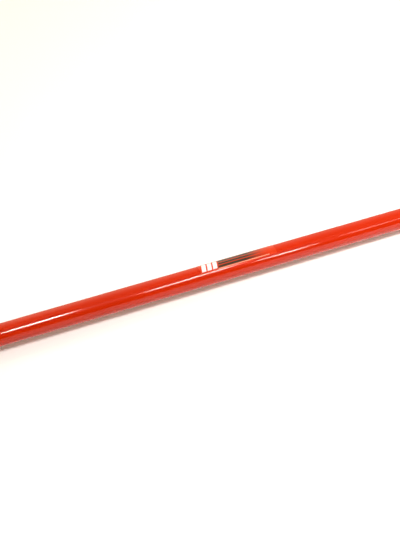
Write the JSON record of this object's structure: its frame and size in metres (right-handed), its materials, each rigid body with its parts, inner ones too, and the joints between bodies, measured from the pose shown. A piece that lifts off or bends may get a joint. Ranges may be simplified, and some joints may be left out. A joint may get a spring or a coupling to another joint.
{
  "type": "sway bar",
  "caption": "U-shaped round steel sway bar with flattened drilled arms, saddle-bracket bushings and bushed end links.",
  "frame": {"origin": "centre of the four chassis bolt holes, on the plane of the saddle brackets' feet, under the middle of the bar", "axes": "+X along the bar, +Z away from the chassis face; the arms and end links reach towards -Y"},
  "size_m": [1.061, 0.474, 0.0576],
  "materials": {
    "bar_powder_coat": "glossy powder coat with slight orange peel",
    "decal_film": "thin glossy printed film",
    "black_polyurethane": "satin moulded polyurethane",
    "zinc_plate": "zinc-plated pressed plate",
    "zinc_hardware": "bright zinc plating",
    "sleeve_steel": "turned and zinc-plated tube",
    "nylon": "moulded nylon",
    "link_coat": "satin black powder coat"
  },
  "bodies": {
    "bar": {"sway_bar": "bar_powder_coat", "centre_decal": "decal_film", "pivot_bolt_left": "zinc_hardware", "pivot_nut_left": "zinc_hardware", "lock_ring_left": "nylon", "pivot_washer_outer_left": "zinc_hardware", "pivot_washer_inner_left": "zinc_hardware", "pivot_sleeve_left": "sleeve_steel", "pivot_bolt_right": "zinc_hardware", "pivot_nut_right": "zinc_hardware", "lock_ring_right": "nylon", "pivot_washer_outer_right": "zinc_hardware", "pivot_washer_inner_right": "zinc_hardware", "pivot_sleeve_right": "sleeve_steel"},
    "mount_left": {"frame_bushing_left": "black_polyurethane", "saddle_bracket_left": "zinc_plate", "grease_fitting_left": "zinc_hardware"},
    "link_left": {"link_rod_left": "link_coat", "pivot_eye_left": "link_coat", "free_eye_left": "link_coat", "pivot_eye_bushing_inner_left": "black_polyurethane", "pivot_eye_bushing_outer_left": "black_polyurethane", "free_eye_bushing_inner_left": "black_polyurethane", "free_eye_bushing_outer_left": "black_polyurethane"},
    "eye_sleeve_left": {"free_sleeve_left": "sleeve_steel"},
    "mount_right": {"frame_bushing_right": "black_polyurethane", "saddle_bracket_right": "zinc_plate", "grease_fitting_right": "zinc_hardware"},
    "link_right": {"link_rod_right": "link_coat", "pivot_eye_right": "link_coat", "free_eye_right": "link_coat", "pivot_eye_bushing_inner_right": "black_polyurethane", "pivot_eye_bushing_outer_right": "black_polyurethane", "free_eye_bushing_inner_right": "black_polyurethane", "free_eye_bushing_outer_right": "black_polyurethane"},
    "eye_sleeve_right": {"free_sleeve_right": "sleeve_steel"}
  },
  "joints": [
    {"name": "mount_left_turn", "type": "hinge", "parent": "bar", "child": "mount_left", "pos_m": [-0.358, 0, 0.019], "axis": [1, 0, 0], "range_deg": [-40, 40]},
    {"name": "link_left_swing", "type": "hinge", "parent": "bar", "child": "link_left", "pos_m": [-0.501, -0.25, 0.019], "axis": [1, 0, 0], "range_deg": [-160, 160]},
    {"name": "eye_sleeve_left_turn", "type": "hinge", "parent": "link_left", "child": "eye_sleeve_left", "pos_m": [-0.501, -0.4, 0.019], "axis": [1, 0, 0], "continuous": true},
    {"name": "mount_right_turn", "type": "hinge", "parent": "bar", "child": "mount_right", "pos_m": [0.358, 0, 0.019], "axis": [1, 0, 0], "range_deg": [-40, 40]},
    {"name": "link_right_swing", "type": "hinge", "parent": "bar", "child": "link_right", "pos_m": [0.501, -0.25, 0.019], "axis": [1, 0, 0], "range_deg": [-160, 160]},
    {"name": "eye_sleeve_right_turn", "type": "hinge", "parent": "link_right", "child": "eye_sleeve_right", "pos_m": [0.501, -0.4, 0.019], "axis": [1, 0, 0], "continuous": true}
  ]
}
